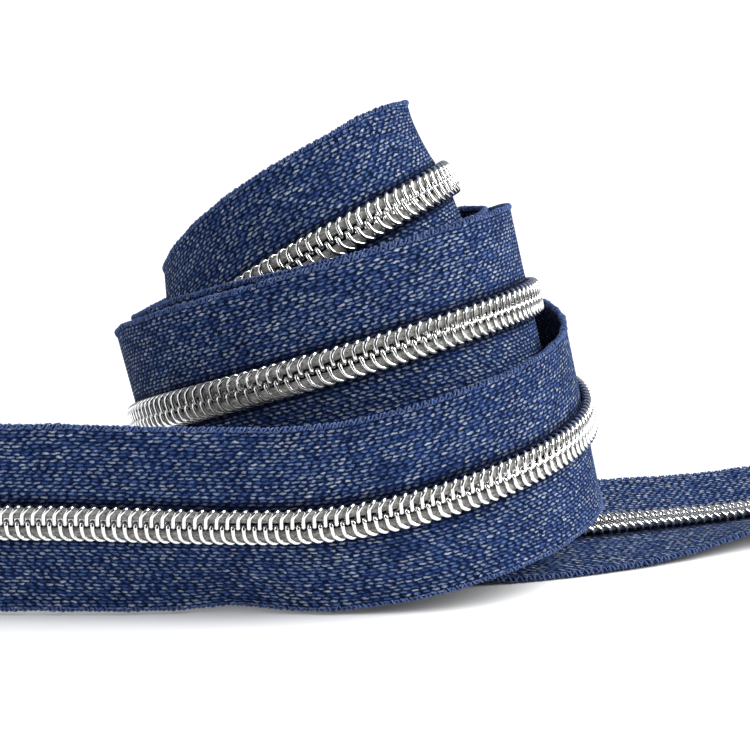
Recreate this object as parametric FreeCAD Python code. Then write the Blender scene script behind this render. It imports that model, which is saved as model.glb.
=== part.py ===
import FreeCAD, Part
import math
import os

# A metre-goods coil zipper, size 5, wound loosely on its edge into a stepped roll.
# Units are millimetres, +Z is up, the table is Z = 0 and the origin lies under the
# middle of the whole length. The chain side of the strip faces out of the roll.
# Each coil is the closed outline of a 0.64 monofilament wound at a pitch of 1.7.

os.makedirs("parts", exist_ok=True)

# ---------------------------------------------------------------- driving dimensions
TAPE_WIDTH = 32.0          # both tapes, selvedge to selvedge
TAPE_THICKNESS = 0.55
TAPE_GAP = 1.0             # between the tapes, under the chain
SELVEDGE_WIDTH = 1.1       # looped outer edge of each tape
SELVEDGE_THICKNESS = 0.9
CHAIN_WIDTH = 6.0          # closed coil, heel to heel
COIL_TOP = 2.3             # crest of the coil above the middle of the tape
COIL_BASE = 0.32           # underside of the coil above the middle of the tape
CORD_WIDTH = 1.8           # flattened filler cord inside each coil
CORD_HEIGHT = 0.9
CORD_WALL = 0.5            # between the cord and the heels of the coil
CORD_CLEARANCE = 0.05
CHAIN_CLEARANCE = 0.08     # between a coil and the middle of the chain
THREAD_WIDTH = 0.9         # sewing row on the plain side of each tape
THREAD_HEIGHT = 0.25
STIFF_HALF = 3.2           # the strip stays flat this far either side of the chain
SPLIT = 0.4                # clearance where one moving length meets the next
STEP = 6.0                 # spacing of the sections a length is drawn through
ORIGIN = (14.5, -1.0)      # from the middle of the roll to the origin, in plan

HALF = TAPE_WIDTH / 2

# ---------------------------------------------------------------- the way the strip lies
# Left end: x, y, height of the chain, lean of the upper half, lean of the lower half.
# A lean is in degrees from upright, towards the inside of the roll.
LEFT_END = [
    (-62, -40.8, 16.05, -6, 10),
    (-52, -41.2, 16.0, -6, 11),
    (-40, -41.6, 15.95, -6, 12),
    (-28, -42.0, 15.75, -6, 15),
    (-14, -42.2, 15.5, -4, 19),
]
# The roll: degrees wound from the front, radius, height, centre x, both leans.
ROLL = [
    (0, 42.0, 15.9, 0, -2, 14),
    (45, 42.6, 21.7, 0, 7, -3),
    (90, 41.8, 25.4, 0, 12, -12),
    (135, 40.5, 25.6, 0, 9, -9),
    (180, 38.5, 18.8, 0, 0, 0),
    (225, 35.4, 16.3, 0, -9, 9),
    (270, 32.0, 22.9, 0, -14, 14),
    (315, 32.6, 30.8, 0, -7, 9),
    (360, 33.0, 39.2, 0, 2, 0),
    (405, 33.2, 45.0, 0, 9, -9),
    (450, 32.6, 44.6, 0, 13, -13),
    (495, 31.8, 39.0, 0, 9, -9),
    (540, 30.8, 33.0, 0, 0, 0),
    (585, 29.8, 27.5, 0, -9, 9),
    (630, 29.2, 25.8, 0, -14, 14),
    (675, 29.4, 32.5, 0, -8, 8),
    (720, 29.6, 39.4, 0, 1, -1),
    (765, 29.6, 44.0, 0, 8, -8),
    (810, 28.8, 44.2, 0, 13, -13),
    (855, 27.6, 40.5, 0, 9, -9),
    (900, 26.2, 36.0, -1, 4, 0),
    (945, 24.8, 32.8, -2, -1, 8),
    (990, 24.0, 33.0, -2.7, -2, 12),
    (1035, 23.8, 43.4, -2.7, 7, 2),
    (1080, 24.0, 55.9, -2.7, 18, -7),
    (1125, 23.2, 63.8, -2.7, 34, -17),
    (1170, 20.7, 63.9, -2.7, 31, -23),
    (1215, 19.0, 56.0, -2.7, 22, -16),
    (1260, 17.6, 44.0, -2.7, 12, -10),
    (1305, 16.2, 31.5, -2, 4, -2),
    (1350, 15.0, 22.0, -1, 0, 0),
    (1395, 14.5, 17.4, 0, 2, -2),
]
# Right end: the inner end of the strip lies down and runs out along the table.
RIGHT_END = [
    (1, -11.0, 15.4, 14, -14),
    (11, -9.5, 11.8, 42, -45),
    (21, -6.0, 6.0, 62, -70),
    (33, -1.0, 3.75, 68, -79),
    (45, 5.5, 3.2, 70, -82),
    (57, 13.5, 2.3, 70, -90),
    (69, 21.0, 1.7, 70, -99),
    (84, 29.5, 2.0, 71, -107),
]


def roll_point(turned, radius, height, centre, upper, lower):
    a = math.radians(turned)
    x = centre + radius * math.sin(a)
    y = -radius * math.cos(a)
    return (x, y, height, upper, lower)


STATIONS = LEFT_END + [roll_point(*row) for row in ROLL] + RIGHT_END

# Distance in plan from the left end to each station.
KEYS = [0.0]
for before, after in zip(STATIONS, STATIONS[1:]):
    KEYS.append(KEYS[-1] + math.hypot(after[0] - before[0], after[1] - before[1]))


def second_derivatives(keys, values):
    """Natural cubic spline through the values, by its second derivatives."""
    n = len(keys)
    upper = [0.0] * n
    right = [0.0] * n
    for i in range(1, n - 1):
        h0 = keys[i] - keys[i - 1]
        h1 = keys[i + 1] - keys[i]
        bend = 6 * ((values[i + 1] - values[i]) / h1 - (values[i] - values[i - 1]) / h0)
        pivot = 2 * (h0 + h1) - h0 * upper[i - 1]
        upper[i] = h1 / pivot
        right[i] = (bend - h0 * right[i - 1]) / pivot
    second = [0.0] * n
    for i in range(n - 2, 0, -1):
        second[i] = right[i] - upper[i] * second[i + 1]
    return second


COLUMNS = [[row[c] for row in STATIONS] for c in range(5)]
BENDS = [second_derivatives(KEYS, column) for column in COLUMNS]


def at(q, column):
    """Value and slope of one column of the stations at plan distance q."""
    i = 0
    while i < len(KEYS) - 2 and q > KEYS[i + 1]:
        i += 1
    h = KEYS[i + 1] - KEYS[i]
    a = (KEYS[i + 1] - q) / h
    b = (q - KEYS[i]) / h
    v = COLUMNS[column]
    m = BENDS[column]
    bend = ((a ** 3 - a) * m[i] + (b ** 3 - b) * m[i + 1]) * h * h / 6
    tilt = ((3 * b * b - 1) * m[i + 1] - (3 * a * a - 1) * m[i]) * h / 6
    return a * v[i] + b * v[i + 1] + bend, (v[i + 1] - v[i]) / h + tilt


class Section:
    """The strip cut square across at plan distance q."""

    def __init__(self, q):
        x, dx = at(q, 0)
        y, dy = at(q, 1)
        z, dz = at(q, 2)
        self.point = FreeCAD.Vector(x - ORIGIN[0], y - ORIGIN[1], z)
        self.along = FreeCAD.Vector(dx, dy, dz).normalize()
        out = FreeCAD.Vector(dy, -dx, 0).normalize()
        self.up = self.across(at(q, 3)[0], out, 1)
        self.down = self.across(at(q, 4)[0], out, -1)
        self.mean = (self.up - self.down).normalize()
        self.face = self.outward(self.mean)
        self.up_face = self.outward(self.up)
        self.down_face = self.outward(self.down * -1)

    def across(self, lean, out, sign):
        a = math.radians(lean)
        w = FreeCAD.Vector(0, 0, sign * math.cos(a)) - out * math.sin(a)
        return (w - self.along * w.dot(self.along)).normalize()

    def outward(self, across):
        return self.along.cross(across).normalize()

    def place(self, half, v, h):
        """A point v from the chain line on one half, h out of the plane of the tape."""
        stiff = min(v, STIFF_HALF)
        free = max(0.0, v - STIFF_HALF)
        sign = 1 if half == "upper" else -1
        side = self.up if half == "upper" else self.down
        face = self.up_face if half == "upper" else self.down_face
        if free <= 0:
            face = self.face
        return self.point + self.mean * (sign * stiff) + side * free + face * h


def tape_outline():
    t = TAPE_THICKNESS / 2
    s = SELVEDGE_THICKNESS / 2
    edge = HALF - SELVEDGE_WIDTH
    inner = TAPE_GAP / 2
    outside = [(STIFF_HALF + 0.01, t), (edge - 0.3, t), (edge, s), (HALF - 0.25, s), (HALF, s / 2)]
    return [(inner, t)] + outside + [(v, -h) for v, h in reversed(outside)] + [(inner, -t)]


def coil_outline():
    left = CHAIN_CLEARANCE
    right = CHAIN_WIDTH / 2
    low = COIL_BASE
    top = COIL_TOP
    r = 0.6
    points = [(left + 0.25, low), (right - r, low), (right - 0.15, low + 0.35)]
    points += [(right, low + 0.95), (right - 0.15, top - 0.45), (right - r, top - 0.1)]
    points += [(left + 1.2, top), (left + 0.3, top - 0.15), (left, top - 0.6), (left, low + 0.3)]
    return points


CORD_V = CHAIN_WIDTH / 2 - CORD_WALL - CORD_WIDTH / 2
CORD_H = (COIL_BASE + COIL_TOP) / 2


def cord_outline(margin, sides=12):
    """The oval of the filler cord, grown by a margin all round."""
    a = CORD_WIDTH / 2 + margin
    b = CORD_HEIGHT / 2 + margin
    turns = [2 * math.pi * i / sides for i in range(sides)]
    return [(CORD_V + a * math.cos(t), CORD_H + b * math.sin(t)) for t in turns]


def thread_outline():
    top = -TAPE_THICKNESS / 2 - 0.03
    low = top - THREAD_HEIGHT
    a = CORD_V - THREAD_WIDTH / 2
    b = CORD_V + THREAD_WIDTH / 2
    return [(a, top), (b, top), (b - 0.15, low), (a + 0.15, low)]


def ruled(one, other):
    """The face of straight lines between two curves drawn through the same sections."""
    poles = [[a, b] for a, b in zip(one.getPoles(), other.getPoles())]
    times = one.getMultiplicities()
    knots = one.getKnots()
    face = Part.BSplineSurface()
    face.buildFromPolesMultsKnots(poles, times, [2, 2], knots, [0, 1], False, False, one.Degree, 1)
    return face.toShape()


def side_faces(half, outline, stops, sections):
    """Ruled faces between the curves traced by neighbouring corners of an outline."""
    curves = []
    for v, h in outline:
        curve = Part.BSplineCurve()
        curve.interpolate([s.place(half, v, h) for s in sections], Parameters=stops)
        curves.append(curve)
    return [ruled(one, other) for one, other in zip(curves, curves[1:] + curves[:1])]


def loop(half, outline, section):
    points = [section.place(half, v, h) for v, h in outline]
    return Part.makePolygon(points + points[:1])


def swept(half, outline, start, end, hole=None):
    """A solid of constant outline along the strip from start to end, in plan distance."""
    count = max(4, int(math.ceil((end - start) / STEP)))
    stops = [start + (end - start) * i / count for i in range(count + 1)]
    sections = [Section(q) for q in stops]
    faces = side_faces(half, outline, stops, sections)
    if hole:
        faces += side_faces(half, hole, stops, sections)
    for section in (sections[0], sections[-1]):
        wires = [loop(half, outline, section)]
        if hole:
            wires.append(loop(half, hole, section))
        faces.append(Part.Face(wires))
    shell = Part.makeShell(faces)
    shell.sewShape(0.001)
    solid = Part.makeSolid(Part.Shell(shell.Faces))
    if solid.Volume < 0:
        solid.reverse()
    return solid


# ---------------------------------------------------------------- lengths that move
def turned(angle):
    """Plan distance of a point of the roll, by degrees wound from the front."""
    first = len(LEFT_END)
    step = 45
    i = int(angle // step)
    share = (angle - i * step) / step
    return KEYS[first + i] * (1 - share) + KEYS[first + i + 1] * share


def run_out(x):
    """Plan distance of a point of the right end, by its x."""
    rows = RIGHT_END
    first = len(LEFT_END) + len(ROLL)
    for i in range(len(rows) - 1):
        if rows[i][0] <= x <= rows[i + 1][0]:
            share = (x - rows[i][0]) / (rows[i + 1][0] - rows[i][0])
            return KEYS[first + i] * (1 - share) + KEYS[first + i + 1] * share
    return KEYS[-1]


SPANS = [
    ("left_tail", KEYS[0], KEYS[4]),
    ("bottom_turn", KEYS[4], turned(280)),
    ("middle_turn", turned(280), turned(985)),
    ("top_turn", turned(985), turned(1215)),
    ("inner_run", turned(1215), run_out(51)),
    ("right_tail", run_out(51), KEYS[-1]),
]

OUTLINES = [
    ("tape", tape_outline(), None),
    ("coil", coil_outline(), cord_outline(CORD_CLEARANCE)),
    ("cord", cord_outline(0), None),
    ("thread", thread_outline(), None),
]

for span, start, end in SPANS:
    start += SPLIT / 2 if start > 0 else 0
    end -= SPLIT / 2 if end < KEYS[-1] else 0
    for half in ("upper", "lower"):
        for piece, outline, hole in OUTLINES:
            solid = swept(half, outline, start, end, hole)
            solid.exportStep("parts/%s_%s_%s.step" % (half, piece, span))
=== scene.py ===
import math

import bpy
import numpy as np
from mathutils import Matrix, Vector


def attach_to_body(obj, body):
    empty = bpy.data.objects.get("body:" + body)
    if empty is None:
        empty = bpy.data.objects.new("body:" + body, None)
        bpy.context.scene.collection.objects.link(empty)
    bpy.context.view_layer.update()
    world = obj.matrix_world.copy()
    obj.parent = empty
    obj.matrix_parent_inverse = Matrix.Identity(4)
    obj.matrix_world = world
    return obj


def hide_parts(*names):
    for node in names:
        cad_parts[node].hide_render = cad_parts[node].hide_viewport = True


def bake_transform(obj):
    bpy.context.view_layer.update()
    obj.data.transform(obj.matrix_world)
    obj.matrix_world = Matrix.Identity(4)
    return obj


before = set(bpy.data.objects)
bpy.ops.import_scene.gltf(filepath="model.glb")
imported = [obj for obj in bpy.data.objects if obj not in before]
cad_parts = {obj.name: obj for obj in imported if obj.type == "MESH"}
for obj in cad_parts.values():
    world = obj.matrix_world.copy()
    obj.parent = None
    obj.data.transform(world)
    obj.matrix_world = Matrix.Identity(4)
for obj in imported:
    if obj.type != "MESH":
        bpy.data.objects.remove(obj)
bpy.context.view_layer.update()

# A coil zipper by the metre, wound on its edge. Lengths in this script are in
# millimetres along and across the strip, and lay() turns them into metres in place.
MM = 0.001
TURN = 2 * math.pi

# ---------------------------------------------------------------- the strip
HALF = 16.0              # chain line to selvedge
INNER_EDGE = 0.5         # chain line to the inner edge of a tape
THICKNESS = 0.55
PITCH = 1.7              # one loop of each coil
WIRE = 0.7               # diameter of the monofilament
BEND_START = 2.4         # where a tape starts to lean away from the chain
BEND_WIDTH = 1.6
FLOAT = 1.5              # one warp float of the weave
ROW = 0.6                # one warp yarn to the next
RELIEF = 0.07            # how far a float stands out
STAGGER = 0.15           # how unevenly the rows are staggered
STAGGER_STEP = 2.4       # radians of the stagger's wave from one row to the next
ORIGIN = (14.5, -1.0)    # from the middle of the roll to the frame's origin, in plan

# Left end: x, y, height of the chain, lean of the upper half, lean of the lower half.
LEFT_END = [
    (-62, -40.8, 16.05, -6, 10),
    (-52, -41.2, 16.0, -6, 11),
    (-40, -41.6, 15.95, -6, 12),
    (-28, -42.0, 15.75, -6, 15),
    (-14, -42.2, 15.5, -4, 19),
]
# The roll: degrees wound from the front, radius, height, centre x, both leans.
# A lean is in degrees from upright, towards the inside of the roll.
ROLL = [
    (0, 42.0, 15.9, 0, -2, 14),
    (45, 42.6, 21.7, 0, 7, -3),
    (90, 41.8, 25.4, 0, 12, -12),
    (135, 40.5, 25.6, 0, 9, -9),
    (180, 38.5, 18.8, 0, 0, 0),
    (225, 35.4, 16.3, 0, -9, 9),
    (270, 32.0, 22.9, 0, -14, 14),
    (315, 32.6, 30.8, 0, -7, 9),
    (360, 33.0, 39.2, 0, 2, 0),
    (405, 33.2, 45.0, 0, 9, -9),
    (450, 32.6, 44.6, 0, 13, -13),
    (495, 31.8, 39.0, 0, 9, -9),
    (540, 30.8, 33.0, 0, 0, 0),
    (585, 29.8, 27.5, 0, -9, 9),
    (630, 29.2, 25.8, 0, -14, 14),
    (675, 29.4, 32.5, 0, -8, 8),
    (720, 29.6, 39.4, 0, 1, -1),
    (765, 29.6, 44.0, 0, 8, -8),
    (810, 28.8, 44.2, 0, 13, -13),
    (855, 27.6, 40.5, 0, 9, -9),
    (900, 26.2, 36.0, -1, 4, 0),
    (945, 24.8, 32.8, -2, -1, 8),
    (990, 24.0, 33.0, -2.7, -2, 12),
    (1035, 23.8, 43.4, -2.7, 7, 2),
    (1080, 24.0, 55.9, -2.7, 18, -7),
    (1125, 23.2, 63.8, -2.7, 34, -17),
    (1170, 20.7, 63.9, -2.7, 31, -23),
    (1215, 19.0, 56.0, -2.7, 22, -16),
    (1260, 17.6, 44.0, -2.7, 12, -10),
    (1305, 16.2, 31.5, -2, 4, -2),
    (1350, 15.0, 22.0, -1, 0, 0),
    (1395, 14.5, 17.4, 0, 2, -2),
]
# Right end: the inner end of the strip lies down and runs out along the table.
RIGHT_END = [
    (1, -11.0, 15.4, 14, -14),
    (11, -9.5, 11.8, 42, -45),
    (21, -6.0, 6.0, 62, -70),
    (33, -1.0, 3.75, 68, -79),
    (45, 5.5, 3.2, 70, -82),
    (57, 13.5, 2.3, 70, -90),
    (69, 21.0, 1.7, 70, -99),
    (84, 29.5, 2.0, 71, -107),
]


def roll_point(turned, radius, height, centre, upper, lower):
    a = math.radians(turned)
    return (centre + radius * math.sin(a), -radius * math.cos(a), height, upper, lower)


STATIONS = np.array(LEFT_END + [roll_point(*row) for row in ROLL] + RIGHT_END, float)
KEYS = np.concatenate([[0.0], np.cumsum(np.hypot(*np.diff(STATIONS[:, :2], axis=0).T))])


def second_derivatives(keys, values):
    """Natural cubic spline through the values, by its second derivatives."""
    n = len(keys)
    upper = [0.0] * n
    right = [0.0] * n
    for i in range(1, n - 1):
        h0 = keys[i] - keys[i - 1]
        h1 = keys[i + 1] - keys[i]
        bend = 6 * ((values[i + 1] - values[i]) / h1 - (values[i] - values[i - 1]) / h0)
        pivot = 2 * (h0 + h1) - h0 * upper[i - 1]
        upper[i] = h1 / pivot
        right[i] = (bend - h0 * right[i - 1]) / pivot
    second = [0.0] * n
    for i in range(n - 2, 0, -1):
        second[i] = right[i] - upper[i] * second[i + 1]
    return np.array(second)


def spline(q, column):
    """Values and slopes of one column of the stations at plan distances q."""
    v = STATIONS[:, column]
    m = second_derivatives(KEYS, v)
    i = np.clip(np.searchsorted(KEYS, q, side="right") - 1, 0, len(KEYS) - 2)
    h = KEYS[i + 1] - KEYS[i]
    a = (KEYS[i + 1] - q) / h
    b = (q - KEYS[i]) / h
    bend = ((a ** 3 - a) * m[i] + (b ** 3 - b) * m[i + 1]) * h * h / 6
    tilt = ((3 * b * b - 1) * m[i + 1] - (3 * a * a - 1) * m[i]) * h / 6
    return a * v[i] + b * v[i + 1] + bend, (v[i + 1] - v[i]) / h + tilt


def smooth(t):
    """Eases from 0 to 1."""
    t = np.clip(t, 0, 1)
    return t * t * (3 - 2 * t)


def unit(rows):
    return rows / np.linalg.norm(rows, axis=1, keepdims=True)


def dot(a, b):
    return (a * b).sum(1, keepdims=True)


def route():
    """The strip's frame every tenth of a millimetre: distance along, and its vectors."""
    q = np.linspace(0, KEYS[-1], 8600)
    (x, dx), (y, dy), (z, dz) = (spline(q, c) for c in range(3))
    nought = np.zeros_like(q)
    point = np.stack([x - ORIGIN[0], y - ORIGIN[1], z], 1)
    along = unit(np.stack([dx, dy, dz], 1))
    out = unit(np.stack([dy, -dx, nought], 1))
    sides = []
    for column, sign in ((3, 1), (4, -1)):
        lean = np.radians(spline(q, column)[0])[:, None]
        w = np.stack([nought, nought, nought + sign], 1) * np.cos(lean) - out * np.sin(lean)
        sides.append(unit(w - along * dot(w, along)))
    up, down = sides
    mean = unit(up - down)
    faces = [np.cross(along, mean), np.cross(along, up), np.cross(along, -down)]
    steps = np.linalg.norm(np.diff(point, axis=0), axis=1)
    s = np.concatenate([[0.0], np.cumsum(steps)])
    vectors = [point, along, mean, unit(faces[0]), up, unit(faces[1]), down, unit(faces[2])]
    return q, s, np.hstack(vectors)


PLAN, ALONG, VECTORS = route()
LENGTH = ALONG[-1]


def read(s):
    """The frame's vectors at distances s along the strip, as eight arrays."""
    f = np.interp(s, ALONG, np.arange(len(ALONG)))
    i = np.minimum(f.astype(int), len(ALONG) - 2)
    w = (f - i)[:, None]
    rows = VECTORS[i] * (1 - w) + VECTORS[i + 1] * w
    return np.split(rows, 8, axis=1)


def lay(half, s, v, h):
    """Points in metres: s along the strip, v from the chain line on one half, h out."""
    s, v, h = (a.ravel() for a in np.broadcast_arrays(s, v, h))
    point, _, mean, face, up, up_face, down, down_face = read(s)
    sign, side, side_face = (1, up, up_face) if half == "upper" else (-1, down, down_face)
    t = np.clip((v - BEND_START) / BEND_WIDTH, 0, 1)
    turn = smooth(t)[:, None]
    free = BEND_WIDTH * (t ** 3 - t ** 4 / 2) + np.maximum(0, v - BEND_START - BEND_WIDTH)
    stiff = (v - free)[:, None]
    outward = unit(face * (1 - turn) + side_face * turn)
    return (point + mean * sign * stiff + side * free[:, None] + outward * h[:, None]) * MM


# ---------------------------------------------------------------- lengths and joints
def turned(angle):
    """Plan distance of a point of the roll, by degrees wound from the front."""
    return np.interp(angle, [row[0] for row in ROLL], KEYS[5:5 + len(ROLL)])


def run_out(x):
    """Plan distance of a point of the right end, by its x."""
    return np.interp(x, [row[0] for row in RIGHT_END], KEYS[5 + len(ROLL):])


# Where one body meets the next, and how much of the strip bends there on each side.
JOINS = [
    ("left_tail", "bottom_turn", KEYS[4], 13),
    ("bottom_turn", "middle_turn", turned(280), 30),
    ("middle_turn", "top_turn", turned(985), 22),
    ("top_turn", "inner_run", turned(1215), 20),
    ("inner_run", "right_tail", run_out(51), 13),
]
INSET = 2.5              # a bending length starts to bend this far inside its ends


def lengths():
    """The strip cut into stiff and bending lengths: name, bodies, start, end."""
    rows = []
    start = 0.0
    for a, b, q, reach in JOINS:
        near, far = np.interp([q - reach, q + reach], PLAN, ALONG)
        rows.append((a, (a,), start, near))
        rows.append((a + "_to_" + b, (a, b), near, far))
        start = far
    rows.append((JOINS[-1][1], (JOINS[-1][1],), start, LENGTH))
    return rows


LENGTHS = lengths()


def bend_points(start, end):
    """The level line that a bending length turns along, inside both of its ends."""
    low, high = (read(np.array([s]))[0][0] * MM for s in (start, end))
    way = (high - low) * (1, 1, 0)
    way /= np.linalg.norm(way)
    v = np.array([0.0, HALF])
    near = np.vstack([lay(half, start + INSET, v, 0) for half in ("upper", "lower")]) @ way
    far = np.vstack([lay(half, end - INSET, v, 0) for half in ("upper", "lower")]) @ way
    base = low - way * (low @ way)
    return base + way * near.max(), base + way * far.min()


def attach(obj, piece, half, row):
    """Rides one piece of a stiff length on its body and hides the CAD node it stands for, if any. A
    bending length has its bend line worked out but is only fixed in place.
    """
    name, bodies, start, end = row
    if len(bodies) == 1:
        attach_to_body(obj, bodies[0])
        if piece:
            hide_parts("%s_%s_%s" % (half, piece, bodies[0]))
    else:
        near, far = bend_points(start, end)
        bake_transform(obj)


# ---------------------------------------------------------------- mesh building
def make_object(name, points, quads, caps, uv, material):
    mesh = bpy.data.meshes.new(name)
    corners = np.concatenate([quads.ravel()] + [np.asarray(c) for c in caps])
    sizes = np.concatenate([np.full(len(quads), 4), [len(c) for c in caps]]).astype(int)
    mesh.vertices.add(len(points))
    mesh.vertices.foreach_set("co", points.astype(np.float32).ravel())
    mesh.loops.add(len(corners))
    mesh.loops.foreach_set("vertex_index", corners.astype(np.int32))
    mesh.polygons.add(len(sizes))
    starts = np.concatenate([[0], np.cumsum(sizes)[:-1]])
    mesh.polygons.foreach_set("loop_start", starts.astype(np.int32))
    mesh.update(calc_edges=True)
    mesh.polygons.foreach_set("use_smooth", np.ones(len(sizes), bool))
    layer = mesh.uv_layers.new(name="Weave")
    layer.data.foreach_set("uv", uv[corners].astype(np.float32).ravel())
    mesh.materials.append(material)
    obj = bpy.data.objects.new(name, mesh)
    bpy.context.scene.collection.objects.link(obj)
    return obj


def tube_faces(rings, sides, first=0):
    """Quads round a tube of rings, and its two end caps."""
    i = np.arange(rings - 1)[:, None] * sides
    j = np.arange(sides)[None, :]
    k = (j + 1) % sides
    quads = np.stack([i + j, i + k, i + sides + k, i + sides + j], -1).reshape(-1, 4)
    last = (rings - 1) * sides
    caps = [first + np.arange(sides)[::-1], first + last + np.arange(sides)]
    return quads + first, caps


def swept_object(name, half, stops, outline, material, shift=None, twist=None):
    """An outline of (v, h) carried along the strip through the stops."""
    s = np.repeat(stops, len(outline))
    v = np.tile(outline[:, 0], len(stops))
    h = np.tile(outline[:, 1], len(stops))
    across = np.copysign(v, h) if twist is None else np.tile(twist, len(stops))
    if shift:
        v, h = shift(s, v, h)
    points = lay(half, s, v, h)
    quads, caps = tube_faces(len(stops), len(outline))
    if half == "lower":
        quads = quads[:, ::-1]
        caps = [c[::-1] for c in caps]
    uv = np.stack([s, across], 1)
    return make_object(name, points, quads, caps, uv, material)


def stops_between(start, end, step):
    return np.linspace(start, end, max(2, int(round((end - start) / step)) + 1))


# ---------------------------------------------------------------- materials
class Nodes:
    """A short way to write a node tree."""

    def __init__(self, name):
        self.material = bpy.data.materials.new(name)
        self.material.use_nodes = True
        self.tree = self.material.node_tree
        self.shader = self.tree.nodes["Principled BSDF"]

    def add(self, kind, **values):
        node = self.tree.nodes.new(kind)
        for key, value in values.items():
            setattr(node, key, value)
        return node

    def link(self, value, socket):
        if isinstance(value, bpy.types.NodeSocket):
            self.tree.links.new(value, socket)
        elif value is not None:
            socket.default_value = value

    def math(self, operation, a, b=None, c=None, clamp=False):
        node = self.add("ShaderNodeMath", operation=operation, use_clamp=clamp)
        for value, socket in zip((a, b, c), node.inputs):
            self.link(value, socket)
        return node.outputs[0]

    def ramp(self, value, stops):
        node = self.add("ShaderNodeValToRGB")
        ramp = node.color_ramp
        while len(ramp.elements) < len(stops):
            ramp.elements.new(0.5)
        for element, (position, colour) in zip(ramp.elements, stops):
            element.position = position
            element.color = (*colour, 1)
        self.link(value, node.inputs[0])
        return node.outputs[0]

    def mix(self, factor, a, b, blend="MIX"):
        node = self.add("ShaderNodeMix", data_type="RGBA", blend_type=blend)
        self.link(factor, node.inputs["Factor"])
        for value, socket in ((a, node.inputs[6]), (b, node.inputs[7])):
            self.link(value if isinstance(value, bpy.types.NodeSocket) else (*value, 1), socket)
        return node.outputs[2]

    def combine(self, x, y, z=0.0):
        node = self.add("ShaderNodeCombineXYZ")
        for value, socket in zip((x, y, z), node.inputs):
            self.link(value, socket)
        return node.outputs[0]

    def noise(self, vector, scale, detail=2.0, rough=0.5):
        node = self.add("ShaderNodeTexNoise")
        self.link(vector, node.inputs["Vector"])
        node.inputs["Scale"].default_value = scale
        node.inputs["Detail"].default_value = detail
        node.inputs["Roughness"].default_value = rough
        return node.outputs[0]

    def white(self, vector):
        node = self.add("ShaderNodeTexWhiteNoise", noise_dimensions="2D")
        self.link(vector, node.inputs["Vector"])
        return node.outputs[0]

    def strip(self):
        """Distance along and across the strip, in millimetres."""
        split = self.add("ShaderNodeSeparateXYZ")
        self.link(self.add("ShaderNodeUVMap", uv_map="Weave").outputs[0], split.inputs[0])
        return split.outputs[0], split.outputs[1]

    def bump(self, height, distance, strength):
        node = self.add("ShaderNodeBump")
        node.inputs["Strength"].default_value = strength
        node.inputs["Distance"].default_value = distance
        self.link(height, node.inputs["Height"])
        self.link(node.outputs[0], self.shader.inputs["Normal"])

    def set(self, **values):
        for key, value in values.items():
            self.link(value, self.shader.inputs[key.replace("_", " ")])
        return self.material


# Colours of the cloth, from the deepest gap to the lightest yarn. The gap colours are the yarn
# underneath with painted shade in it.
SHADED_GAP = (0.0017, 0.0051, 0.0222)
UNDER = (0.009, 0.022, 0.09)
BODY = (0.032, 0.069, 0.205)
NAVY = (0.022, 0.049, 0.152)
BLUE = (0.067, 0.116, 0.252)
PALE = (0.188, 0.24, 0.33)
GREY = (0.375, 0.41, 0.45)
# Painted shade: the plain side faces into the roll, and its colour is multiplied darker to stand for
# the shade there.
PLAIN_SIDE_SHADE = (0.22, 0.23, 0.3)        # what the plain side's colour is multiplied by


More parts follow.
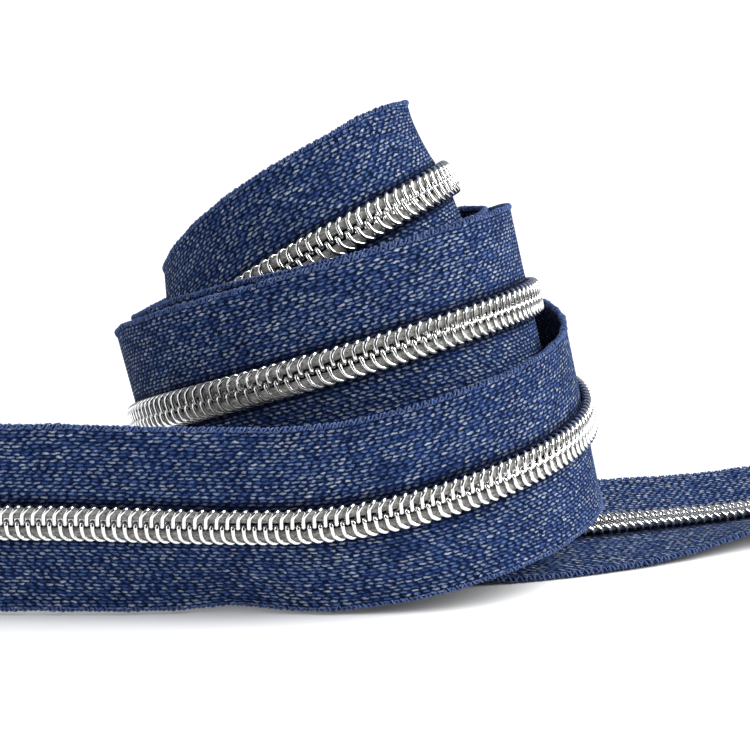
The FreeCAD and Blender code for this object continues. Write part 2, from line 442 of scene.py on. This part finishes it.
def cloth_material():
    """Heathered weave: rows of staggered warp floats, each yarn changing shade.

    The strip's two measures are first warped a little. single and other are random
    values of each float. height is about 1 in the middle of a float and 0 in the gaps.
    """
    n = Nodes("tape_cloth")
    s, signed = n.strip()
    v = n.math("ABSOLUTE", signed)
    drift = n.noise(n.combine(n.math("MULTIPLY", s, 1.2), n.math("MULTIPLY", v, 1.5)), 1.0, 1.0)
    slip = n.noise(n.combine(n.math("MULTIPLY", s, 1.5), n.math("MULTIPLY", v, 1.9), 6.0), 1.0, 1.0)
    s = n.math("MULTIPLY_ADD", n.math("SUBTRACT", slip, 0.5), 1.2, s)
    v = n.math("MULTIPLY_ADD", n.math("SUBTRACT", drift, 0.5), 0.45, v)
    rows = n.math("DIVIDE", v, ROW)
    row = n.math("FLOOR", rows)
    stagger = n.math("SINE", n.math("MULTIPLY", row, STAGGER_STEP))
    floats = n.math("MULTIPLY_ADD", row, 0.5, n.math("DIVIDE", s, FLOAT))
    floats = n.math("MULTIPLY_ADD", stagger, STAGGER, floats)
    index = n.math("FLOOR", floats)
    single = n.white(n.combine(index, row))
    other = n.white(n.combine(row, index))
    a = n.math("SUBTRACT", n.math("FRACT", floats), n.math("MULTIPLY_ADD", other, 0.14, 0.43))
    b = n.math("SUBTRACT", n.math("FRACT", rows), n.math("MULTIPLY_ADD", single, 0.16, 0.42))
    b = n.math("MULTIPLY_ADD", a, -0.25, b)
    fibre = n.noise(n.combine(n.math("MULTIPLY", s, 2.8), n.math("MULTIPLY", v, 12.0)), 1.0, 4.0, 0.75)
    ragged = n.math("MULTIPLY_ADD", fibre, 0.9, -0.45)
    reach = n.math("MULTIPLY_ADD", single, 0.14, 0.36)
    across = n.math("POWER", n.math("ABSOLUTE", n.math("DIVIDE", a, reach)), 1.7)
    through = n.math("POWER", n.math("MULTIPLY", n.math("ABSOLUTE", b), 2.6), 1.8)
    height = n.math("SUBTRACT", n.math("ADD", 1.0, ragged), across)
    height = n.math("SUBTRACT", height, through, clamp=True)
    yarn = n.noise(n.combine(n.math("MULTIPLY", s, 0.3), n.math("MULTIPLY", row, 5.37)), 1.0, 1.0)
    shade = n.math("ADD", n.math("MULTIPLY", yarn, 0.6), n.math("MULTIPLY", other, 0.5))
    colour = n.ramp(shade, [(0.25, NAVY), (0.43, BLUE), (0.62, PALE), (0.86, GREY)])
    streaks = n.ramp(fibre, [(0.32, (0.32, 0.34, 0.38)), (0.68, (1.72, 1.7, 1.66))])
    colour = n.mix(1.0, colour, streaks, "MULTIPLY")
    body = n.mix(1.0, BODY, streaks, "MULTIPLY")
    blot = n.noise(n.combine(n.math("MULTIPLY", s, 0.9), n.math("MULTIPLY", v, 1.7)), 1.0, 2.0, 0.6)
    depth = n.math("MULTIPLY_ADD", fibre, 0.4, n.math("MULTIPLY", blot, 0.6))
    # Painted shade: where height falls towards the gaps between floats, the colour falls to the yarn
    # underneath, drawn darker for the shade in those recesses; noise sets how dark each gap is.
    shaded_under = n.ramp(depth, [(0.46, SHADED_GAP), (0.6, UNDER)])
    body = n.mix(n.math("POWER", height, 0.85), shaded_under, body)
    colour = n.mix(n.math("POWER", height, 1.1), body, colour)
    worn = n.noise(n.combine(s, v), 0.16, 2.0)
    patches = n.ramp(worn, [(0.3, (0.82, 0.82, 0.84)), (0.7, (1.2, 1.2, 1.17))])
    colour = n.mix(1.0, colour, patches, "MULTIPLY")
    # Painted shade: the cloth is drawn darker within about 4 mm of the chain line, for the shade the
    # coil casts on the tape beside it.
    painted_coil_shade = n.ramp(n.math("DIVIDE", v, 10.0), [(0.32, (0.22, 0.22, 0.26)), (0.43, (1, 1, 1))])
    colour = n.mix(1.0, colour, painted_coil_shade, "MULTIPLY")
    # Painted shade: the plain side is drawn darker for the shade inside the roll.
    plain = n.mix(1.0, colour, PLAIN_SIDE_SHADE, "MULTIPLY")
    colour = n.mix(n.math("LESS_THAN", signed, 0.0), colour, plain)
    n.bump(n.math("MULTIPLY_ADD", fibre, 0.3, height), 0.0002, 0.9)
    n.shader.inputs["Sheen Tint"].default_value = (0.6, 0.7, 0.9, 1)
    return n.set(
        Base_Color=colour, Roughness=0.85, Specular_IOR_Level=0.04,
        Sheen_Weight=0.02, Sheen_Roughness=0.35,
    )


def yarn_material(name, dark, light, fleck, specular=0.25, grain=0.00008):
    """Fibrous yarn, for the selvedge, the filler cords and the sewing rows."""
    n = Nodes(name)
    s, v = n.strip()
    fibre = n.noise(n.combine(n.math("MULTIPLY", s, 3.0), n.math("MULTIPLY", v, 9.0)), 1.0, 3.0, 0.65)
    patch = n.noise(n.combine(n.math("MULTIPLY", s, 0.8), n.math("MULTIPLY", v, 2.0)), 1.0, 1.0)
    shade = n.math("ADD", n.math("MULTIPLY", fibre, 0.75), n.math("MULTIPLY", patch, 0.35))
    # Painted shade: yarn whose second coordinate is below -1, the selvedge's core, is drawn darker for
    # the shade between the wraps over it.
    shade = n.math("MULTIPLY_ADD", n.math("LESS_THAN", v, -1.0), -0.3, shade)
    n.bump(fibre, grain, 0.7)
    return n.set(
        Base_Color=n.ramp(shade, [(0.42, dark), (0.62, light), (0.76, fleck)]), Roughness=0.8,
        Specular_IOR_Level=specular, Sheen_Weight=0.05, Sheen_Roughness=0.5,
    )


def wire_material():
    """Metallised monofilament, with faint drawing lines and patches of less gloss."""
    n = Nodes("coil_monofilament")
    s, v = n.strip()
    lines = n.noise(n.combine(n.math("MULTIPLY", s, 0.6), n.math("MULTIPLY", v, 7.0)), 1.0, 2.0)
    patch = n.noise(n.combine(s, v), 0.7, 2.0)
    n.bump(lines, 0.00001, 0.5)
    tone = n.ramp(patch, [(0.3, (0.86, 0.86, 0.85)), (0.7, (0.96, 0.96, 0.95))])
    rough = n.math("MULTIPLY_ADD", patch, 0.12, 0.1)
    return n.set(Base_Color=tone, Roughness=rough, Metallic=1.0)


CLOTH = cloth_material()
SELVEDGE = yarn_material(
    "selvedge_yarn", dark=(0.003, 0.007, 0.032), light=(0.07, 0.12, 0.3),
    fleck=(0.3, 0.35, 0.44), specular=0.15,
)
FILLER = yarn_material(
    "filler_cord", dark=(0.03, 0.029, 0.026), light=(0.31, 0.305, 0.285),
    fleck=(0.45, 0.44, 0.41), specular=0.3, grain=0.00016,
)
THREAD = yarn_material(
    "sewing_thread", dark=(0.006, 0.01, 0.04), light=(0.045, 0.072, 0.22),
    fleck=(0.06, 0.1, 0.28),
)
WIRE_FINISH = wire_material()

# ---------------------------------------------------------------- tapes
RNG = np.random.default_rng(5)
# Length, phase and weight of each wave that wander() adds up.
WAVES = [(RNG.uniform(9, 60), RNG.uniform(0, 6.28), RNG.uniform(0.3, 1)) for _ in range(12)]
WANDER_SCALE = 3.5


def wander(s, seed):
    """A slow random drift along the strip, mostly between -1 and 1."""
    total = sum(w * np.sin(TURN * s / wave + start * seed) for wave, start, w in WAVES)
    return total / WANDER_SCALE


def bump_at(s, place, width):
    """1 at one place, fading to nothing on both sides of it."""
    return np.exp(-((s - place) / width) ** 2)


LIFTED = np.interp(KEYS[4] - 0.5, PLAN, ALONG)   # the outer turn's edge leaves the table
CORNER = 713.0           # along the strip, where the top turn's edge turns away
WAVE_DEPTH = 0.12        # of the waves out of the tape's plane
EDGE_WAVE = 0.07         # of the waves in its edge
PUCKER_DEPTH = 0.05      # the sewing draws the tape in once a loop
PUCKER_V = 3.4
PUCKER_WIDTH = 0.8


def tape_shift(half):
    """One tape's waves and bends, which grow towards its selvedge, and the sewing's pucker."""
    seed = 1.0 if half == "upper" else 1.7

    def shift(s, v, h):
        reach = (v / HALF) ** 2
        h = h + WAVE_DEPTH * reach * wander(s, seed)
        pucker = PUCKER_DEPTH * np.cos(TURN * s / PITCH) * bump_at(v, PUCKER_V, PUCKER_WIDTH)
        if half == "lower":
            # The outer turn's lower edge curls in, and the right tail's lower edge lifts.
            h = h - 1.4 * reach * bump_at(s, LIFTED, 7)
            h = h + 1.2 * reach * smooth((s - LENGTH + 45) / 35)
        else:
            # The top turn's upper edge flares and is drawn in where it turns away.
            h = h + 1.7 * reach ** 1.5 * bump_at(s, CORNER, 10)
            v = v - 1.6 * reach * bump_at(s, CORNER + 1, 9)
            v = v + 0.3 * reach * bump_at(s, CORNER - 12, 7)
        return v + EDGE_WAVE * reach * wander(s * 2.3, seed + 3), h + pucker

    return shift


def woven_shift(half):
    """The tape's own waves, with every float of the weave standing out of both faces."""
    wave = tape_shift(half)
    seed = 2.4 if half == "upper" else 3.1

    def shift(s, v, h):
        row = np.floor(v / ROW + 1e-6)
        floats = s / FLOAT + 0.5 * row + STAGGER * np.sin(STAGGER_STEP * row)
        a = floats - np.floor(floats) - 0.5
        b = v / ROW + 1e-6 - row - 0.5
        out = np.clip(1 - (np.abs(a) / 0.4) ** 2 - (2.1 * np.abs(b)) ** 2, 0, 1)
        woven = (v > INNER_EDGE + 0.3) & (v < HALF - 0.6) & (np.abs(h) > 0.1)
        h = h + np.sign(h) * RELIEF * out * woven
        v = v + 0.12 * wander(s * 4.1 + v * 2.0, seed) * (v - 2) / HALF
        return wave(s, v, h)

    return shift


def tape_outline():
    """The tape's outline, with points on the rows of the weave. The back has fewer."""
    t = THICKNESS / 2
    v = np.concatenate([[INNER_EDGE + 0.12], np.arange(1.2, 15.3, ROW / 2), [15.5]])
    front = np.stack([v, np.full_like(v, t)], 1)
    v = np.concatenate([[INNER_EDGE + 0.12], np.arange(1.5, 15.3, ROW), [15.5]])
    back = np.stack([v[::-1], np.full_like(v, -t)], 1)
    return np.vstack([front, [(15.75, 0.0)], back, [(INNER_EDGE, 0.0)]])


EDGE_V = HALF - 0.5      # middle of the selvedge's loops
EDGE_STEP = 1.5          # one turn of the selvedge's yarns to the next
# Share of a turn it starts at, radius of its turns, its own radius, hand of its turns.
EDGE_YARNS = [
    (0.0, 0.38, 0.15, 1), (0.42, 0.34, 0.14, 1), (0.1, 0.36, 0.12, -1), (0.7, 0.06, 0.26, 1),
]
CORE_LOOP = 0.1          # a yarn with turns smaller than this is the core
# Painted shade: the core lies under the wraps and is drawn darker for the shade there.
CORE_SHADE_SHIFT = -30         # moves the core's coordinate below 0, where the yarn is darker
EDGE_SAMPLES = 12
EDGE_SIDES = 6


def selvedge_object(name, half, start, end):
    """Yarns wrapped slantwise over the outer edge of a tape."""
    wave = tape_shift(half)
    parts, shades, quads, caps = [], [], [], []
    first = 0
    for phase, loop, radius, hand in EDGE_YARNS:
        stops = stops_between(start, end, EDGE_STEP / EDGE_SAMPLES)
        turn = TURN * (stops / EDGE_STEP + phase) + 1.5 * wander(stops * 4, 1.9 + hand)
        reach = loop * (1 + 0.28 * wander(stops * 5, 1.3 + phase))
        v, h = wave(stops, np.full_like(stops, EDGE_V), np.zeros_like(stops))
        middle = lay(half, stops, v + reach * np.cos(turn), h - 1.15 * hand * reach * np.sin(turn))
        forward = unit(np.gradient(middle, axis=0))
        along = read(stops)[1]
        side = unit(np.cross(forward, along))
        other = np.cross(side, forward)
        t = np.arange(EDGE_SIDES) * TURN / EDGE_SIDES
        cos_t, sin_t = np.cos(t)[None, :, None], np.sin(t)[None, :, None]
        round_it = side[:, None] * cos_t + other[:, None] * sin_t
        thick = radius * (1 + 0.18 * wander(stops * 7, 2.6 + phase))
        parts.append((middle[:, None] + round_it * thick[:, None, None] * MM).reshape(-1, 3))
        faces, ends = tube_faces(len(stops), EDGE_SIDES, first)
        quads.append(faces)
        caps += ends
        first += len(parts[-1])
        run = np.repeat(stops * 2.5 + phase * 9, EDGE_SIDES)
        core = CORE_SHADE_SHIFT if loop < CORE_LOOP else 0
        shades.append(np.stack([run, np.tile(t * 0.15, len(stops)) + 20 * phase + core], 1))
    return make_object(
        name, np.vstack(parts), np.vstack(quads), caps, np.vstack(shades), SELVEDGE
    )


def ring(sides):
    """A unit circle as an outline, and its angles."""
    t = np.arange(sides) * TURN / sides
    return np.stack([np.cos(t), np.sin(t)], 1), t


def build_tapes():
    for half in ("upper", "lower"):
        for row in LENGTHS:
            name, _, start, end = row
            stops = stops_between(start, end, FLOAT / 4)
            tape = swept_object(
                "weave_%s_%s" % (half, name), half, stops, tape_outline(), CLOTH, woven_shift(half)
            )
            attach(tape, "tape", half, row)
            edge = selvedge_object("selvedge_%s_%s" % (half, name), half, start, end)
            attach(edge, None, half, row)


# ---------------------------------------------------------------- coils
# One loop of the wire's middle line: v from the chain line, distance along, h out.
UPPER_LOOP = [
    (1.20, 0.00, 0.64), (0.30, 0.00, 0.64), (-0.05, 0.01, 0.82), (-0.16, 0.02, 1.30),
    (-0.04, 0.03, 1.78), (0.32, 0.04, 1.98), (1.00, 0.04, 2.00), (1.62, 0.10, 1.98),
    (2.08, 0.36, 1.95), (2.44, 0.74, 1.80), (2.66, 1.08, 1.42), (2.64, 1.34, 0.98),
    (2.38, 1.54, 0.70), (1.90, 1.66, 0.64),
]
LOWER_LOOP = [
    (1.20, 0.02, 0.64), (0.30, -0.02, 0.64), (-0.05, 0.00, 0.82), (-0.17, 0.02, 1.30),
    (-0.06, 0.04, 1.80), (0.28, 0.07, 1.98), (0.90, 0.12, 2.00), (1.45, 0.22, 1.99),
    (1.98, 0.50, 1.96), (2.38, 0.95, 1.86), (2.62, 1.45, 1.62), (2.66, 1.86, 1.20),
    (2.46, 2.14, 0.82), (2.05, 2.10, 0.66), (1.65, 1.88, 0.64),
]
SAMPLES = 2              # rings between two points of a loop
WIRE_SIDES = 8


def loop_rings(points):
    """A loop's points with more between them, drawn smoothly into the next loop."""
    p = np.array(points, float)
    n = len(p)
    following = (0, PITCH, 0)
    wrapped = np.vstack([p[-1:] - following, p, p[:1] + following, p[1:2] + following])
    rows = []
    for i in range(n):
        a, b, c, d = wrapped[i:i + 4]
        for k in range(SAMPLES):
            t = k / SAMPLES
            rows.append(0.5 * (
                2 * b + (c - a) * t + (2 * a - 5 * b + 4 * c - d) * t * t
                + (3 * b - a - 3 * c + d) * t ** 3
            ))
    return np.array(rows)


def wire_object(name, half, start, end):
    """All loops of one coil whose start lies in a length, as one tube."""
    template = loop_rings(UPPER_LOOP if half == "upper" else LOWER_LOOP)
    shift = 0.0 if half == "upper" else PITCH / 2
    first = math.ceil((start - shift) / PITCH - 1e-6)
    last = math.ceil((end - shift) / PITCH - 1e-6)
    last = min(last, int((LENGTH - shift) / PITCH) - 1)
    count = last - first
    base = (first + np.arange(count)) * PITCH + shift
    s = (base[:, None] + template[None, :, 1]).ravel()
    v = np.tile(template[:, 0], count)
    h = np.tile(template[:, 2], count)
    middle = lay(half, s, v, h)
    forward = unit(np.gradient(middle, axis=0))
    along = read(s)[1]
    side = unit(along - forward * dot(along, forward))
    normal = np.cross(forward, side)
    t = np.arange(WIRE_SIDES) * TURN / WIRE_SIDES
    head = np.exp(-((v + 0.2) / 0.35) ** 2)[:, None, None]
    wide = side[:, None, :] * np.cos(t)[None, :, None] * (1 + 0.14 * head)
    deep = normal[:, None, :] * np.sin(t)[None, :, None]
    points = (middle[:, None, :] + (wide + deep) * WIRE / 2 * MM).reshape(-1, 3)
    quads, caps = tube_faces(len(middle), WIRE_SIDES)
    run = np.arange(len(middle)) * 0.3
    round_wire = np.abs(t - math.pi) * 0.3
    uv = np.stack([np.repeat(run, WIRE_SIDES), np.tile(round_wire, len(middle))], 1)
    return make_object(name, points, quads, caps, uv, WIRE_FINISH)


CORD_V = 1.6
CORD_H = 1.28
CORD_HALF_WIDTH = 0.85
CORD_HALF_HEIGHT = 0.56
PLY_PITCH = 2.3


def cord_shift(half):
    """Shapes a round outline into a flattened three-ply yarn, swelling between loops."""
    phase = 0.0 if half == "upper" else 0.5

    def shift(s, v, h):
        angle = np.arctan2(h, v)
        ply = 1 + 0.06 * np.cos(3 * angle - TURN * s / PLY_PITCH)
        swell = 1 + 0.10 * np.cos(TURN * (s / PITCH - phase - 0.55))
        rough = 1 + 0.03 * wander(s * 9 + angle * 7, 2.2)
        v = CORD_V + CORD_HALF_WIDTH * np.cos(angle) * ply * rough
        return v, CORD_H + CORD_HALF_HEIGHT * np.sin(angle) * ply * swell * rough

    return shift


def build_coils():
    cord_ring, turns = ring(16)
    for half in ("upper", "lower"):
        for row in LENGTHS:
            name, _, start, end = row
            wire = wire_object("loops_%s_%s" % (half, name), half, start, end)
            attach(wire, "coil", half, row)
            cord = swept_object(
                "filler_%s_%s" % (half, name), half, stops_between(start, end, 0.2), cord_ring,
                FILLER, cord_shift(half), turns * 0.8,
            )
            attach(cord, "cord", half, row)


# ---------------------------------------------------------------- sewing rows
STITCH = 3.4             # one stitch to the next
STITCH_V = 1.6           # chain line to the sewing row
THREAD_RADIUS = 0.12
LINK_REACH = 2.15        # half the length of a link, which overlaps the next
LINK_RINGS = 18
LINK_SIDES = 6


def stitch_object(name, half, start, end):
    """A chain stitch on the plain side: each link overlaps the one before."""
    first = math.ceil(start / STITCH - 1e-6)
    last = min(math.ceil(end / STITCH - 1e-6), int(LENGTH / STITCH) - 1)
    t = np.arange(LINK_RINGS) * TURN / LINK_RINGS
    link = np.stack([
        LINK_REACH * np.cos(t), (0.34 + 0.08 * np.cos(t)) * np.sin(t), -0.42 - 0.07 * np.cos(t),
    ], 1)
    step = np.roll(link, -1, 0) - np.roll(link, 1, 0)
    forward = unit(step)
    side = unit(np.cross(forward, [[0, 0, 1.0]]))
    rise = np.cross(side, forward)
    a = np.arange(LINK_SIDES) * TURN / LINK_SIDES
    skin = link[:, None, :] + THREAD_RADIUS * (
        side[:, None, :] * np.cos(a)[None, :, None] + rise[:, None, :] * np.sin(a)[None, :, None]
    )
    skin = skin.reshape(-1, 3)
    n = len(skin)
    i = np.arange(LINK_RINGS)[:, None] * LINK_SIDES
    j = np.arange(LINK_SIDES)[None, :]
    k = (j + 1) % LINK_SIDES
    following = (i + LINK_SIDES) % n
    one = np.stack([i + j, following + j, following + k, i + k], -1).reshape(-1, 4)
    bases = (np.arange(first, last) + 0.5) * STITCH
    s = (bases[:, None] + skin[None, :, 0]).ravel()
    v = np.tile(STITCH_V + skin[:, 1], len(bases))
    h = np.tile(skin[:, 2], len(bases))
    quads = (one[None] + (np.arange(len(bases)) * n)[:, None, None]).reshape(-1, 4)
    if half == "upper":
        quads = quads[:, ::-1]
    uv = np.stack([s, np.tile(np.tile(a * 0.2, LINK_RINGS), len(bases))], 1)
    return make_object(name, lay(half, np.clip(s, 0, LENGTH), v, h), quads, [], uv, THREAD)


def build_stitches():
    for half in ("upper", "lower"):
        for row in LENGTHS:
            name, _, start, end = row
            rows = stitch_object("stitches_%s_%s" % (half, name), half, start, end)
            attach(rows, "thread", half, row)


build_coils()
build_tapes()
build_stitches()


# ---------------------------------------------------------------- floor, lights, camera
# From here on lengths are in metres.
FLOOR_HALF = 6.0
FLOOR_DROP = 0.00025     # keeps the floor just clear of the lowest yarns
CAMERA_DISTANCE = 0.6
ELEVATION = math.radians(11)


def build_floor():
    n = Nodes("floor_white")
    n.set(Base_Color=(0.82, 0.825, 0.83, 1), Roughness=0.6, Specular_IOR_Level=0.2)
    mesh = bpy.data.meshes.new("floor")
    r = FLOOR_HALF
    mesh.from_pydata([(-r, -r, 0), (r, -r, 0), (r, r, 0), (-r, r, 0)], [], [(0, 1, 2, 3)])
    mesh.materials.append(n.material)
    floor = bpy.data.objects.new("floor", mesh)
    floor.location.z = -FLOOR_DROP
    bpy.context.scene.collection.objects.link(floor)


def area_light(name, place, target, size, power):
    light = bpy.data.lights.new(name, "AREA")
    light.shape = "RECTANGLE"
    light.size, light.size_y = size
    light.energy = power
    obj = bpy.data.objects.new(name, light)
    obj.location = place
    obj.rotation_euler = (Vector(target) - Vector(place)).to_track_quat("-Z", "Y").to_euler()
    bpy.context.scene.collection.objects.link(obj)


def build_lights():
    world = bpy.data.worlds.new("studio")
    world.use_nodes = True
    world.node_tree.nodes["Background"].inputs[0].default_value = (0.93, 0.96, 1.0, 1)
    world.node_tree.nodes["Background"].inputs[1].default_value = 0.32
    bpy.context.scene.world = world
    sun = bpy.data.lights.new("soft_key", "SUN")
    sun.energy = 6.4
    sun.angle = math.radians(50)
    key = bpy.data.objects.new("soft_key", sun)
    key.rotation_euler = Vector((-0.95, 0.0, -0.72)).to_track_quat("-Z", "Y").to_euler()
    bpy.context.scene.collection.objects.link(key)
    area_light("softbox_left", (-0.4, -0.6, 0.35), (0, 0, 0.03), (1.0, 0.6), 3.2)


def build_flag():
    """A dark card in front, seen only in reflections, so the wires have dark cores."""
    n = Nodes("flag_black")
    n.set(Base_Color=(0.01, 0.01, 0.012, 1), Roughness=1.0, Specular_IOR_Level=0.0)
    mesh = bpy.data.meshes.new("flag")
    y, low, high, side = -0.2, 0.0, 0.3, 0.22
    corners = [(-side, y, low), (side, y, low), (side, y, high), (-side, y, high)]
    mesh.from_pydata(corners, [], [(0, 1, 2, 3)])
    mesh.materials.append(n.material)
    flag = bpy.data.objects.new("flag", mesh)
    flag.visible_camera = False
    flag.visible_diffuse = False
    flag.visible_shadow = False
    flag.visible_transmission = False
    bpy.context.scene.collection.objects.link(flag)


def build_camera():
    camera = bpy.data.objects.new("camera", bpy.data.cameras.new("camera"))
    camera.data.lens = 177.2
    camera.data.sensor_width = 36
    target = Vector((-0.0074, -0.0190, 0.0351))
    away = Vector((0, -math.cos(ELEVATION), math.sin(ELEVATION)))
    camera.location = target + away * CAMERA_DISTANCE
    camera.rotation_euler = (-away).to_track_quat("-Z", "Y").to_euler()
    bpy.context.scene.collection.objects.link(camera)
    bpy.context.scene.camera = camera


build_floor()
build_flag()
build_lights()
build_camera()
bpy.context.scene.view_settings.view_transform = "Standard"
